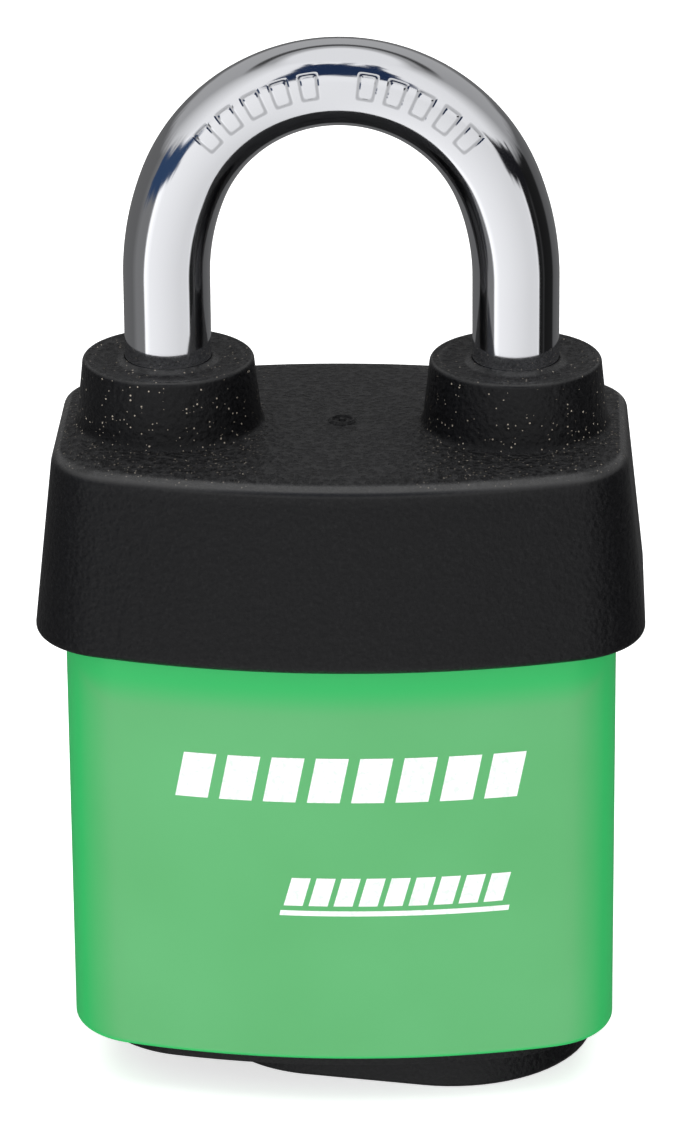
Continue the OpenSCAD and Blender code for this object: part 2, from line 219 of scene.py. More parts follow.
raised = ramp(tree, rough_rise, [
    (0.0, grey(0)), (at_rise(12), grey(0)), (at_rise(20), grey(1)), (1.0, grey(1))])
sky = node(tree, "ShaderNodeMix", {0: raised, 6: room_light, 7: high_light},
           data_type="RGBA").outputs[2]
ceiling = ramp(tree, rise, [
    (0.0, grey(0)), (at_rise(64), grey(0)), (at_rise(70), grey(1)), (1.0, grey(1))])
sky = node(tree, "ShaderNodeMix", {0: ceiling, 6: sky, 7: grey(0.85)},
           data_type="RGBA").outputs[2]
for turns, rises, tone in (((-27, 25), (30, 62), (0.015, 0.03, 0.075, 1)),
                           ((-86, -38), (0, 15), (0.03, 0.06, 0.13, 1)),
                           ((48, 82), (4, 19), (0.01, 0.01, 0.012, 1))):
    window = patch(rough_turn, rough_rise, turns, rises)
    sky = node(tree, "ShaderNodeMix", {0: window, 6: sky, 7: tone}, data_type="RGBA").outputs[2]
# a dark beam behind the ceiling
beam = ramp(tree, rise, [
    (0.0, grey(0)), (at_rise(51), grey(0)),
    (at_rise(54), grey(1)), (at_rise(58), grey(1)), (at_rise(61), grey(0)), (1.0, grey(0))])
behind = node(tree, "ShaderNodeMath", {0: turn, 1: 0.5}, operation="SUBTRACT")
behind = node(tree, "ShaderNodeMath", {0: behind.outputs[0]}, operation="ABSOLUTE")
behind = node(tree, "ShaderNodeMapRange",
              {"Value": behind.outputs[0], "From Min": 0.26, "From Max": 0.33})
dark = node(tree, "ShaderNodeMath", {0: beam, 1: behind.outputs["Result"]},
            operation="MULTIPLY")
sky = node(tree, "ShaderNodeMix", {0: dark.outputs[0], 6: sky, 7: grey(0.06)},
           data_type="RGBA").outputs[2]
glow = node(tree, "ShaderNodeBackground", {"Color": sky, "Strength": 1.0})
node(tree, "ShaderNodeOutputWorld", {"Surface": glow.outputs[0]})


# ---- Body cover ------------------------------------------------------------------------
# The jacket that takes the knocks: one injection-moulded polypropylene shell, satin green,
# slipped over the plates from below. Its front and back are bowed and its lower edge is
# softly rounded.


def outline(w, d, r, f, face=28, corner=18):
    """The bowed outline, anticlockwise from the front's middle: half sizes w and d, corner
    radius r and face radius f. Growing all four by one amount keeps every arc's centre."""
    a = math.asin((w - r) / (f - r))
    low = math.sqrt((f - r) ** 2 - (w - r) ** 2) - (f - d)
    quarter = []
    for i in range(face):
        t = a * i / face
        quarter.append((f * math.sin(t), f - d - f * math.cos(t)))
    for i in range(corner + 1):
        t = a - math.pi / 2 + (math.pi / 2 - a) * i / corner
        quarter.append((w - r + r * math.cos(t), -low + r * math.sin(t)))
    back = [(x, -y) for x, y in reversed(quarter)]
    left = [(-x, -y) for x, y in quarter[1:]]
    return quarter + back + left + [(-x, y) for x, y in reversed(quarter)][:-1]


def rounded(x, z, r, start, end, steps):
    """Points on an arc, as (outward, up) pairs, from angle start to end in degrees."""
    turn_by = [math.radians(start + (end - start) * i / steps) for i in range(steps + 1)]
    return [(x + r * math.cos(t), z + r * math.sin(t)) for t in turn_by]


def make(name, verts, faces, *materials, smooth=32):
    """A mesh object from millimetre points, smooth except across sharp edges."""
    mesh = bpy.data.meshes.new(name)
    mesh.from_pydata([Vector(v) * MM for v in verts], [], faces)
    made = bpy.data.objects.new(name, mesh)
    bpy.context.scene.collection.objects.link(made)
    for m in materials:
        mesh.materials.append(m)
    tidy_up(made, smooth)
    return made


def tidy_up(obj, smooth=32):
    """Merges doubles, points every face outwards and sets the smooth shading."""
    bm = bmesh.new()
    bm.from_mesh(obj.data)
    bmesh.ops.remove_doubles(bm, verts=bm.verts, dist=1e-7)
    bmesh.ops.recalc_face_normals(bm, faces=bm.faces)
    bm.to_mesh(obj.data)
    bm.free()
    obj.data.polygons.foreach_set("use_smooth", [True] * len(obj.data.polygons))
    obj.data.set_sharp_from_angle(angle=math.radians(smooth))


def stack(name, rings, *materials, smooth=32):
    """Skins a list of (outline, height) rings and closes the first and the last."""
    verts, faces = [], []
    for points, z in rings:
        verts += [(x, y, z) for x, y in points]
    n = len(rings[0][0])
    for j in range(len(rings) - 1):
        for i in range(n):
            k = (i + 1) % n
            faces.append((j * n + i, j * n + k, (j + 1) * n + k, (j + 1) * n + i))
    faces.append(tuple(range(n)))
    faces.append(tuple(range((len(rings) - 1) * n, len(rings) * n)))
    return make(name, verts, faces, *materials, smooth=smooth)


def turned(name, profile, x, y, steps, *materials, loop=True, smooth=32):
    """Spins a profile of (radius, height) round a vertical axis at (x, y)."""
    verts, faces = [], []
    n = len(profile)
    for i in range(steps):
        t = 2 * math.pi * i / steps
        verts += [(x + r * math.cos(t), y + r * math.sin(t), z) for r, z in profile]
    for i in range(steps):
        k = (i + 1) % steps
        for j in range(n if loop else n - 1):
            m = (j + 1) % n
            faces.append((i * n + j, k * n + j, k * n + m, i * n + m))
    return make(name, verts, faces, *materials, smooth=smooth)


def cut(obj, *cutters, smooth=32):
    """Takes the cutters' shapes out of obj and deletes them."""
    for c in cutters:
        change = obj.modifiers.new("cut", "BOOLEAN")
        change.operation, change.solver, change.object = "DIFFERENCE", "EXACT", c
    bpy.context.view_layer.update()
    result = bpy.data.meshes.new_from_object(
        obj.evaluated_get(bpy.context.evaluated_depsgraph_get()))
    obj.modifiers.clear()
    obj.data = result
    for c in cutters:
        bpy.data.objects.remove(c)
    tidy_up(obj, smooth)
    return obj


def rod(x, y, r, low, high, steps=72):
    """A plain round cutter, upright."""
    circle = [(x + r * math.cos(2 * math.pi * i / steps),
               y + r * math.sin(2 * math.pi * i / steps))
              for i in range(steps)]
    return stack("cutter", [(circle, low), (circle, high)])


low, high = (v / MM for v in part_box("body_cover"))
cover_half, cover_deep = high.x, high.y
cover_foot, cover_top = low.z, high.z
CORNER, FACE, FOOT_ROUND = 7.5, 70.0, 0.8
RIVET_HOLE = 1.55
plate_low, plate_high = (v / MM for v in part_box("lamination_01"))
stack_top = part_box("lamination_24")[1].z / MM
shell_r = -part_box("cylinder_housing")[0].x / MM
rivet_x = sum(v.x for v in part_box("cover_rivet")) / 2 / MM
cap_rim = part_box("top_cap")[0].z / MM


def cover_outline(grow):
    return outline(cover_half + grow, cover_deep + grow, CORNER + grow, FACE + grow)


inside = cover_half - plate_high.x - 0.1
rings = [(cover_outline(-inside), plate_low.z), (cover_outline(-inside), cover_top),
         (cover_outline(0), cover_top)]
rings += [(cover_outline(0), cover_top + (cover_foot + FOOT_ROUND - cover_top) * i / 24)
          for i in range(1, 24)]
rings += [(cover_outline(n), z)
          for n, z in rounded(-FOOT_ROUND, cover_foot + FOOT_ROUND, FOOT_ROUND, 0, -90, 8)]

# Satin polypropylene. The milky green where the face turns to the eye is a painted sheen,
# fading to deeper green where light grazes it; the deeper green in the strip that the cap
# shades is painted shade
cover_green, tree, shader = surface("satin_polypropylene_green")
place = node(tree, "ShaderNodeTexCoord").outputs["Object"]
drift = node(tree, "ShaderNodeTexNoise",
             {"Vector": place, "Scale": 1 / (18 * MM), "Detail": 2.0})
# painted sheen: milky green where the face turns to the eye, deeper green where it turns away
painted_sheen_green = ramp(tree, drift.outputs["Fac"], [(0.3, colour("#54AC66")), (0.7, colour("#5AB16D"))])
painted_sheen_fade = node(tree, "ShaderNodeLayerWeight", {"Blend": 0.5}).outputs["Facing"]
painted_sheen_fade = node(tree, "ShaderNodeMapRange", {"Value": painted_sheen_fade, "From Min": 0.2, "From Max": 0.55})
height = node(tree, "ShaderNodeSeparateXYZ", {"Vector": place}).outputs["Z"]
# painted shade: deeper green in the strip just under the cap's rim
painted_cap_shade = node(tree, "ShaderNodeMapRange",
              {"Value": height, "From Min": (cap_rim - 5.2) * MM,
               "From Max": (cap_rim - 1.7) * MM}, interpolation_type="SMOOTHSTEP")
painted_sheen_fade_and_shade = node(tree, "ShaderNodeMath", {0: painted_sheen_fade.outputs["Result"], 1: painted_cap_shade.outputs["Result"]},
            operation="MAXIMUM")
tint = node(tree, "ShaderNodeMix", {0: painted_sheen_fade_and_shade.outputs[0], 6: painted_sheen_green, 7: colour("#1CB85C")},
            data_type="RGBA")
tree.links.new(tint.outputs[2], shader.inputs["Base Color"])
# orange peel about 0.9 mm across, drawn coarse enough to show
peel = node(tree, "ShaderNodeTexNoise",
            {"Vector": place, "Scale": 1 / (0.9 * MM), "Detail": 3.0})
bump = node(tree, "ShaderNodeBump",
            {"Height": peel.outputs["Fac"], "Strength": 0.16, "Distance": 0.05 * MM})
tree.links.new(bump.outputs["Normal"], shader.inputs["Normal"])
rub = node(tree, "ShaderNodeMapRange",
           {"Value": drift.outputs["Fac"], "To Min": 0.36, "To Max": 0.46})
tree.links.new(rub.outputs["Result"], shader.inputs["Roughness"])
shader.inputs["IOR"].default_value = 1.49

jacket = stack("green_body_cover", rings, cover_green)
cut(jacket, rod(0, 0, shell_r + 0.1, cover_foot - 1, plate_low.z + 1),
    rod(rivet_x, 0, RIVET_HOLE, cover_foot - 1, plate_low.z + 1))
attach(jacket, "case")
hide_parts("body_cover")


# ---- Printed marks ---------------------------------------------------------------------
# Two plain rows of equal slanted bars pad-printed in white on the front of the cover, the
# smaller one above a thin line. The ink is a film that follows the bowed face.


# Pad-print ink: flat bright white with slightly uneven cover
print_white, tree, shader = surface("pad_print_white")
place = node(tree, "ShaderNodeTexCoord").outputs["Object"]
wear = node(tree, "ShaderNodeTexNoise",
            {"Vector": place, "Scale": 1 / (0.5 * MM), "Detail": 3.0})
tint = ramp(tree, wear.outputs["Fac"], [(0.35, colour("#E3F0E6")), (0.5, colour("#FAFCFA"))])
tree.links.new(tint, shader.inputs["Base Color"])
shader.inputs["Roughness"].default_value = 0.5
shader.inputs["IOR"].default_value = 1.5


def ink_bar(verts, faces, x0, x1, z0, z1, slant, steps=6):
    """Adds one printed bar, as a film 0.03 mm thick on the bowed front."""
    base = len(verts)
    for i in range(steps + 1):
        for z in (z0, z1):
            x = x0 + (x1 - x0) * i / steps + slant * (z - z0)
            y = FACE - cover_deep - math.sqrt(FACE**2 - x**2)
            verts += [(x, y - 0.03, z), (x, y + 0.05, z)]
    for i in range(steps):
        a, b = base + 4 * i, base + 4 * i + 4
        faces += [(a, b, b + 2, a + 2), (a + 1, a + 3, b + 3, b + 1),
                  (a, a + 1, b + 1, b), (a + 2, b + 2, b + 3, a + 3)]
    a, b = base, base + 4 * steps
    faces += [(a, a + 2, a + 3, a + 1), (b, b + 1, b + 3, b + 2)]


verts, faces = [], []
START, PACE, BAR = -15.0, 4.05, 3.0
for i in range(8):
    ink_bar(verts, faces, START + PACE * i, START + PACE * i + BAR, 31.3, 35.7, 0.2)
print_top = make("printed_bars_upper", verts, faces, print_white)
verts, faces = [], []
START, PACE, BAR = -5.1, 2.3, 1.75
for i in range(9):
    ink_bar(verts, faces, START + PACE * i, START + PACE * i + BAR, 20.9, 23.7, 0.28)
ink_bar(verts, faces, -5.5, 15.6, 19.9, 20.4, 0.2, 20)
print_low = make("printed_bars_lower", verts, faces, print_white)
for mark in (print_top, print_low):
    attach(mark, "case")


# ---- Top cap ---------------------------------------------------------------------------
# A black polyethylene cap pressed down over the plates and the jacket's upper edge. It is
# moulded with a leather-like grain on top, a plain drafted wall, and a tall collar round
# each leg that keeps the weather out.

cap_low, cap_high = (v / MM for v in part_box("top_cap"))
seal_low, seal_high = (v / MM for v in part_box("shackle_seal_toe"))
leg_x = (seal_low.x + seal_high.x) / 2
leg_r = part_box("shackle")[1].y / MM
OVER, DRAFT, RIM, EDGE = 2.7, 1.9, 1.0, 1.4
cap_top = stack_top + OVER
lean = math.atan(DRAFT / (cap_top - cap_low.z))
rim_in = (-RIM - RIM * math.sin(lean)) / math.cos(lean)
edge_in = (-EDGE - (cap_top - cap_low.z - EDGE) * math.sin(lean)) / math.cos(lean)


def cap_outline(grow):
    return outline(cap_high.x + grow, cap_high.y + 1.6 * grow, CORNER + 1 + grow,
                   FACE + 2.9 + 5 * grow)


wall = rounded(rim_in, cap_low.z + RIM, RIM, -90, math.degrees(lean), 8)
tip = rounded(edge_in, cap_top - EDGE, EDGE, math.degrees(lean), 90, 10)
rise_to = [(wall[-1][0] + (tip[0][0] - wall[-1][0]) * i / 16,
            wall[-1][1] + (tip[0][1] - wall[-1][1]) * i / 16) for i in range(1, 16)]
rings = [(cover_outline(-inside), stack_top), (cover_outline(-inside), cover_top + 0.1),
         (cover_outline(0.1), cover_top + 0.1), (cover_outline(0.1), cap_low.z)]
rings += [(cap_outline(n), z) for n, z in wall + rise_to + tip]

# Moulded polyethylene: near black and waxy, with a fine grain that turns into a strong
# leather grain on the flat top, and pale dust caught around the collars. On the top the grain
# is coloured darker in its hollows and lighter on its crests: painted shade and highlight
cap_black, tree, shader = surface("moulded_polyethylene_black")
place = node(tree, "ShaderNodeTexCoord").outputs["Object"]
facing = node(tree, "ShaderNodeNewGeometry").outputs["Normal"]
up = node(tree, "ShaderNodeSeparateXYZ", {"Vector": facing}).outputs["Z"]
level = node(tree, "ShaderNodeMapRange",
             {"Value": up, "From Min": 0.6, "From Max": 0.97}).outputs["Result"]
grain = node(tree, "ShaderNodeTexVoronoi", {"Vector": place, "Scale": 1 / (0.5 * MM)},
             feature="SMOOTH_F1")
fine = node(tree, "ShaderNodeTexNoise",
            {"Vector": place, "Scale": 1 / (0.3 * MM), "Detail": 3.0, "Roughness": 0.75})
mixed = node(tree, "ShaderNodeMath", {0: grain.outputs["Distance"], 1: fine.outputs["Fac"]},
             operation="ADD")
rough_top = node(tree, "ShaderNodeMapRange", {"Value": level, "To Min": 0.3, "To Max": 1.0})
bump = node(tree, "ShaderNodeBump",
            {"Height": mixed.outputs[0], "Strength": rough_top.outputs["Result"],
             "Distance": 0.45 * MM})
tree.links.new(bump.outputs["Normal"], shader.inputs["Normal"])
# dust: flecks about 0.15 mm across, thickest at the collars' feet
height = node(tree, "ShaderNodeSeparateXYZ", {"Vector": place}).outputs["Z"]
across = node(tree, "ShaderNodeSeparateXYZ", {"Vector": place}).outputs["X"]
beside = node(tree, "ShaderNodeMath", {0: across}, operation="ABSOLUTE")
beside = node(tree, "ShaderNodeMapRange",
              {"Value": beside.outputs[0], "From Min": 6.5 * MM, "From Max": 8.5 * MM})
near = node(tree, "ShaderNodeMapRange", {"Value": height, "From Min": (cap_top - 0.8) * MM,
                                         "From Max": (cap_top + 0.2) * MM})
low_down = node(tree, "ShaderNodeMapRange",
                {"Value": height, "From Min": (cap_top + 0.5) * MM,
                 "From Max": (cap_top + 4) * MM, "To Min": 0.5, "To Max": 0.2})
fleck = node(tree, "ShaderNodeTexVoronoi", {"Vector": place, "Scale": 1 / (0.34 * MM)})
pick = node(tree, "ShaderNodeSeparateColor", {"Color": fleck.outputs["Color"]})
size = node(tree, "ShaderNodeMapRange",
            {"Value": pick.outputs["Green"], "To Min": 0.08, "To Max": 0.26})
small = node(tree, "ShaderNodeMath", {0: fleck.outputs["Distance"], 1: size.outputs["Result"]},
             operation="LESS_THAN")
few = node(tree, "ShaderNodeMath", {0: pick.outputs["Red"], 1: low_down.outputs["Result"]},
           operation="LESS_THAN")
dust = node(tree, "ShaderNodeMath", {0: small.outputs[0], 1: few.outputs[0]},
            operation="MULTIPLY")
dust = node(tree, "ShaderNodeMath", {0: dust.outputs[0], 1: near.outputs["Result"]},
            operation="MULTIPLY")
dust = node(tree, "ShaderNodeMath", {0: dust.outputs[0], 1: beside.outputs["Result"]},
            operation="MULTIPLY")
# painted shade and highlight: on the flat top the colour follows the grain's relief, dark in the
# hollows and light on the crests; on the wall it is a faint random tone
grain_tone_and_painted_shade = node(tree, "ShaderNodeMapRange",
            {"Value": mixed.outputs[0], "From Min": 0.55, "From Max": 1.15})
speck = node(tree, "ShaderNodeMapRange",
             {"Value": fine.outputs["Fac"], "From Min": 0.35, "From Max": 0.65, "To Max": 0.6})
grain_tone_and_painted_shade = node(tree, "ShaderNodeMix",
            {0: level, 2: speck.outputs["Result"], 3: grain_tone_and_painted_shade.outputs["Result"]})
plastic = ramp(tree, grain_tone_and_painted_shade.outputs[0],
               [(0.0, colour("#050507")), (0.5, colour("#0F0F11")), (1.0, colour("#2A2A2B"))])
tint = node(tree, "ShaderNodeMix", {0: dust.outputs[0], 6: plastic, 7: colour("#B0A698")},
            data_type="RGBA")
tree.links.new(tint.outputs[2], shader.inputs["Base Color"])
sheen = node(tree, "ShaderNodeMapRange",
             {"Value": fine.outputs["Fac"], "To Min": 0.26, "To Max": 0.50})
tree.links.new(sheen.outputs["Result"], shader.inputs["Roughness"])
gloss = node(tree, "ShaderNodeMapRange", {"Value": level, "To Min": 0.24, "To Max": 0.5})
tree.links.new(gloss.outputs["Result"], shader.inputs["Specular IOR Level"])
# handling has burnished the rounded edges
burnish = ramp(tree, up, [(0.0, grey(0)), (0.18, grey(0)), (0.45, grey(0.35)), (0.72, grey(1)),
                          (0.88, grey(0.9)), (0.95, grey(0)), (1.0, grey(0))])
rims = ramp(tree, node(tree, "ShaderNodeMapRange",
                       {"Value": height, "From Min": (cap_top - 2) * MM,
                        "From Max": cap_high.z * MM}).outputs["Result"],
            [(0.0, grey(1)), (0.22, grey(1)), (0.24, grey(0)), (0.88, grey(0)),
             (0.9, grey(0.6)), (1.0, grey(0.6))])
burnish = node(tree, "ShaderNodeMath", {0: burnish, 1: rims}, operation="MULTIPLY")
tree.links.new(burnish.outputs[0], shader.inputs["Coat Weight"])
shader.inputs["Coat Roughness"].default_value = 0.26
shader.inputs["Coat IOR"].default_value = 1.75
shader.inputs["IOR"].default_value = 1.51

cap = stack("black_top_cap", rings, cap_black)
cut(cap, rod(-leg_x, 0, leg_r + 0.2, stack_top - 1, cap_top + 1),
    rod(leg_x, 0, leg_r + 0.2, stack_top - 1, cap_top + 1))

# Each collar is a short cone with a crisp rim, dished on top, with a bead that wipes the
# leg. A groove inside holds the seal.
COLLAR_WALL = 3.95
rim = leg_r + COLLAR_WALL
top = cap_high.z
flare = [(rim + 1.15, cap_top - 0.05), (rim + 0.95, cap_top + 0.04),
         (rim + 0.8, cap_top + 0.16),
         (rim + 0.7, cap_top + 0.34), (rim + 0.62, cap_top + 0.6), (rim + 0.55, cap_top + 0.95),
         (rim + 0.36, cap_top + 2.6), (rim + 0.17, cap_top + 4.2)]
dish = [(rim - 0.75, top - 0.05), (rim - 0.95, top - 0.16), (rim - 1.9, top - 0.46),
        (rim - 2.8, top - 0.5), (rim - 3.2, top - 0.42), (rim - 3.5, top - 0.24),
        (rim - 3.72, top - 0.08), (leg_r + 0.06, top - 0.04)]
groove = [(leg_r + 0.06, top - 0.6), (leg_r + 0.2, top - 0.8), (leg_r + 0.2, seal_high.z),
          (leg_r + 1.5, seal_high.z), (leg_r + 1.5, seal_low.z), (leg_r + 0.2, seal_low.z),
          (leg_r + 0.2, stack_top + 0.1), (rim + 1.15, stack_top + 0.1)]
profile = flare + rounded(rim - 0.5, top - 0.5, 0.5, 0, 90, 6) + dish + groove
for name, x in (("collar_heel", -leg_x), ("collar_toe", leg_x)):
    ring = turned(name, profile, x, 0, 96, cap_black, smooth=40)
    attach(ring, "case")

# The gate mark: a small round vestige in a shallow ring at the middle of the top
gate = turned("gate_mark", [(0, cap_top + 0.24), (0.22, cap_top + 0.2), (0.4, cap_top - 0.05),
                            (0.75, cap_top - 0.05), (0.95, cap_top + 0.2),
                            (1.1, cap_top + 0.22),
                            (1.35, cap_top + 0.02), (1.35, cap_top - 0.2), (0, cap_top - 0.2)],
              0, 0, 40, cap_black)
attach(cap, "case")
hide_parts("top_cap")
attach(gate, "case")


# ---- Base plate, keyway cover and its rivet --------------------------------------------
# Under the jacket lies a thin moulded plate. An egg-shaped cover of the same black plastic
# swings across it on one steel rivet to uncover the keyway.

low, high = (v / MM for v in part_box("base_plate"))


def foot_outline(grow):
    return outline(high.x + grow, high.y + grow, CORNER + 2.5 + grow, FACE - 2 + grow)


foot = stack("base_plate_moulding", [
    (foot_outline(-0.3), low.z), (foot_outline(-0.1), low.z + 0.08),
    (foot_outline(0), low.z + 0.3), (foot_outline(0), cover_foot)], cap_black)
cut(foot, rod(0, 0, shell_r + 0.1, low.z - 1, cover_foot + 1),
    rod(rivet_x, 0, RIVET_HOLE, low.z - 1, cover_foot + 1))
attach(foot, "case")
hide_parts("base_plate")

low, high = (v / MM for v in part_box("keyway_cover"))
BIG, SMALL = 13.6, 11.5
big_x, small_x = high.x - BIG, low.x + SMALL
tilt = math.asin((BIG - SMALL) / (big_x - small_x))


def egg(grow, steps=40):
    """Two circles and their tangents, anticlockwise, grown by the given amount."""
    reach = math.pi / 2 + tilt
    points = [(big_x + (BIG + grow) * math.cos(t), (BIG + grow) * math.sin(t))
              for t in (-reach + 2 * reach * i / steps for i in range(steps + 1))]
    return points + [
        (small_x + (SMALL + grow) * math.cos(t), (SMALL + grow) * math.sin(t))
        for t in (reach + 2 * (math.pi - reach) * i / steps for i in range(steps + 1))]


rings = [(egg(-0.25), high.z), (egg(0), high.z - 0.25)]
rings += [(egg(n), z) for n, z in rounded(-0.8, low.z + 0.8, 0.8, 0, -90, 8)]
flap = stack("swinging_keyway_cover", rings, cap_black)
cut(flap, rod(rivet_x, 0, 1.56, low.z - 1, high.z + 1),
    rod(rivet_x, 0, 2.7, low.z - 1, low.z + 1.35))
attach(flap, "keyway_cover")
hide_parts("keyway_cover")


# ---- Shackle ---------------------------------------------------------------------------
# One 8 mm bar of hardened alloy steel, bent to an arch, polished and chrome plated. The
# long heel leg has a turned neck between its two ball notches; the toe leg has one notch.

# Chrome plate: a near-mirror with faint polishing lines along the bar, and a row of small
# plain marks struck into the front of the arch
bar_chrome, tree, shader = surface("polished_chrome_plate")
shader.inputs["Metallic"].default_value = 1.0
place = node(tree, "ShaderNodeTexCoord").outputs["Object"]
haze = node(tree, "ShaderNodeTexNoise", {"Vector": place, "Scale": 1 / (3 * MM), "Detail": 4.0})
rub = node(tree, "ShaderNodeMapRange",
           {"Value": haze.outputs["Fac"], "To Min": 0.05, "To Max": 0.11})
tree.links.new(rub.outputs["Result"], shader.inputs["Roughness"])
along = node(tree, "ShaderNodeUVMap", uv_map="BarWrap").outputs["UV"]
split = node(tree, "ShaderNodeSeparateXYZ", {"Vector": along})
# the map counts millimetres: along the bar from the arch's crown, and round it from the front
run = split.outputs["X"]
lap = split.outputs["Y"]
PITCH, TALL, WIDE, LINE = 2.5, 1.15, 0.72, 0.2
cell = node(tree, "ShaderNodeMath", {0: run, 1: 1 / PITCH, 2: 0.5}, operation="MULTIPLY_ADD")
cell = node(tree, "ShaderNodeMath", {0: cell.outputs[0]}, operation="FRACT")
cell = node(tree, "ShaderNodeMath", {0: cell.outputs[0], 1: PITCH, 2: -PITCH / 2},
            operation="MULTIPLY_ADD")
across = node(tree, "ShaderNodeMath", {0: cell.outputs[0]}, operation="ABSOLUTE")
across = node(tree, "ShaderNodeMath", {0: across.outputs[0], 1: WIDE}, operation="SUBTRACT")
tallness = node(tree, "ShaderNodeMath", {0: lap, 1: 0.75}, operation="SUBTRACT")
tallness = node(tree, "ShaderNodeMath", {0: tallness.outputs[0]}, operation="ABSOLUTE")
tallness = node(tree, "ShaderNodeMath", {0: tallness.outputs[0], 1: TALL}, operation="SUBTRACT")
edge = node(tree, "ShaderNodeMath", {0: across.outputs[0], 1: tallness.outputs[0], 2: 0.5},
            operation="SMOOTH_MAX")
edge = node(tree, "ShaderNodeMath", {0: edge.outputs[0]}, operation="ABSOLUTE")
struck = node(tree, "ShaderNodeMapRange", {"Value": edge.outputs[0], "From Min": 0.06,
                                           "From Max": LINE, "To Min": 1.0, "To Max": 0.0})
reach = node(tree, "ShaderNodeMath", {0: run}, operation="ABSOLUTE")
reach = node(tree, "ShaderNodeMath", {0: reach.outputs[0], 1: PITCH * 3}, operation="SUBTRACT")
reach = node(tree, "ShaderNodeMath", {0: reach.outputs[0]}, operation="ABSOLUTE")
reach = node(tree, "ShaderNodeMath", {0: reach.outputs[0], 1: PITCH * 2.5},
             operation="LESS_THAN")
struck = node(tree, "ShaderNodeMath", {0: struck.outputs["Result"], 1: reach.outputs[0]},
              operation="MULTIPLY")
line_map = node(tree, "ShaderNodeMapping", {"Vector": along, "Scale": (0.25, 9.0, 1.0)})
lines = node(tree, "ShaderNodeTexNoise",
             {"Vector": line_map.outputs["Vector"], "Scale": 1.0, "Detail": 3.0})
scratch = node(tree, "ShaderNodeBump",
               {"Height": lines.outputs["Fac"], "Strength": 0.05, "Distance": 0.02 * MM})
stamp = node(tree, "ShaderNodeBump",
             {"Height": struck.outputs[0], "Strength": 0.6, "Distance": 0.10 * MM,
              "Normal": scratch.outputs["Normal"]}, invert=True)
tree.links.new(stamp.outputs["Normal"], shader.inputs["Normal"])
# the struck lines are coloured darker than the bright plate round them
struck_line_darkening = node(tree, "ShaderNodeMath", {0: struck.outputs[0], 1: 0.5}, operation="MULTIPLY")
tint = node(tree, "ShaderNodeMix",
            {0: struck_line_darkening.outputs[0], 6: colour("#E9EAEE"), 7: colour("#77787C")}, data_type="RGBA")
tree.links.new(tint.outputs[2], shader.inputs["Base Color"])

low, high = (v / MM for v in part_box("shackle"))
BALL_Z, LIFT, NOTCH = 51.6, 23.5, 3.3
crown_r = 0.9625 * leg_x
crown_a = math.radians(68.28)
side_r = (leg_x - crown_r * math.sin(crown_a)) / (1 - math.sin(crown_a))
crown_z = high.z - leg_r - crown_r
leg_top = crown_z + (crown_r - side_r) * math.cos(crown_a)
toe_z = 46.4
neck_low = BALL_Z - LIFT - 2.3
# stations: centre x, centre z, heading angle of the bar in the arch's plane, radius
bar = [(-leg_x, low.z, 90, leg_r - 0.6), (-leg_x, low.z + 0.3, 90, leg_r - 0.3),
       (-leg_x, low.z + 0.6, 90, leg_r), (-leg_x, neck_low - 0.3, 90, leg_r),
       (-leg_x, neck_low, 90, leg_r - 0.9), (-leg_x, BALL_Z - 0.3, 90, leg_r - 0.9),
       (-leg_x, BALL_Z, 90, leg_r)]
bar += [(-leg_x, BALL_Z + (leg_top - BALL_Z) * i / 10, 90, leg_r) for i in range(1, 10)]
sweep = math.pi / 2 - crown_a
for i in range(25):
    t = sweep * i / 24
    bar.append((-leg_x + side_r - side_r * math.cos(t), leg_top + side_r * math.sin(t),
                90 - math.degrees(t), leg_r))
for i in range(1, 96):
    t = -crown_a + 2 * crown_a * i / 96
    bar.append((crown_r * math.sin(t), crown_z + crown_r * math.cos(t), -math.degrees(t),
                leg_r))
for i in range(25):
    t = sweep * (1 - i / 24)
    bar.append((leg_x - side_r + side_r * math.cos(t), leg_top + side_r * math.sin(t),
                math.degrees(t) - 90, leg_r))
bar += [(leg_x, leg_top + (toe_z + 0.6 - leg_top) * i / 10, -90, leg_r) for i in range(1, 11)]
bar += [(leg_x, toe_z + 0.3, -90, leg_r - 0.3), (leg_x, toe_z, -90, leg_r - 0.6)]

ROUND = 96
verts, faces, wrap = [], [], []
runs = [0.0]
for a, b in zip(bar, bar[1:]):
    runs.append(runs[-1] + math.hypot(b[0] - a[0], b[1] - a[1]))
middle = runs[7 + 9 + 25 + 47]
for (x, z, heading, r), s in zip(bar, runs):
    h = math.radians(heading)
    out_x, out_z = -math.sin(h), math.cos(h)
    for i in range(ROUND):
        t = 2 * math.pi * i / ROUND
        # t = 0 faces the front, and a quarter turn faces the outside of the arch
        verts.append((x + r * math.sin(t) * out_x, -r * math.cos(t),
                      z + r * math.sin(t) * out_z))
for j in range(len(bar) - 1):
    for i in range(ROUND):
        k = (i + 1) % ROUND
        faces.append((j * ROUND + i, (j + 1) * ROUND + i, (j + 1) * ROUND + k, j * ROUND + k))
        a, b = (2 * math.pi * leg_r * (q if q <= ROUND / 2 else q - ROUND) / ROUND for q in (i,
                                                                                             i + 1))
        if b < a:
            b = a + 2 * math.pi * leg_r / ROUND
        wrap.append([(runs[j] - middle, a), (runs[j + 1] - middle, a),
                     (runs[j + 1] - middle, b), (runs[j] - middle, b)])
faces += [tuple(range(ROUND)), tuple(range((len(bar) - 1) * ROUND, len(bar) * ROUND))]
wrap += [[(-200, 0)] * ROUND, [(-200, 0)] * ROUND]
mesh = bpy.data.meshes.new("chrome_shackle")
mesh.from_pydata([Vector(v) * MM for v in verts], [], faces)
layer = mesh.uv_layers.new(name="BarWrap")
for face, corners in zip(mesh.polygons, wrap):
    for loop, uv in zip(face.loop_indices, corners):
        layer.data[loop].uv = uv
